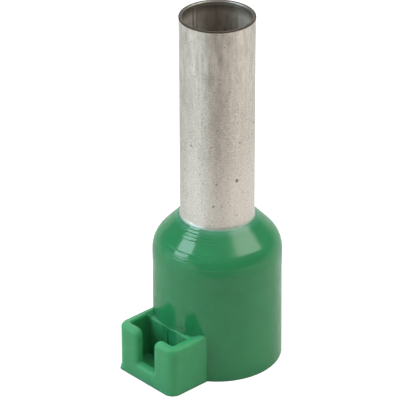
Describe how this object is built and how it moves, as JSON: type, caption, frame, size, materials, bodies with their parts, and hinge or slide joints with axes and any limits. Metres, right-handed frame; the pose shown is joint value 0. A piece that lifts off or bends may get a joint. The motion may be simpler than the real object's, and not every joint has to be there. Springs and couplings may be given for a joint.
{
  "type": "wire ferrule",
  "caption": "Insulated wire ferrule: a tinned metal sleeve in a moulded collar, whose foot carries an open-topped holder for a clip-in marker tag.",
  "frame": {"origin": "on the tube's axis, in the plane of the collar's foot, at the mouth of the wire bore", "axes": "+Z along the tube towards its metal tip, -Y towards the tag holder, +X across it"},
  "size_m": [0.007, 0.0088, 0.02],
  "materials": {
    "tinned_copper": "matt tin plate with fine specks",
    "green_plastic": "smooth moulded, semi-gloss"
  },
  "bodies": {
    "root": {"metal_sleeve": "tinned_copper", "collar": "green_plastic"}
  },
  "joints": []
}
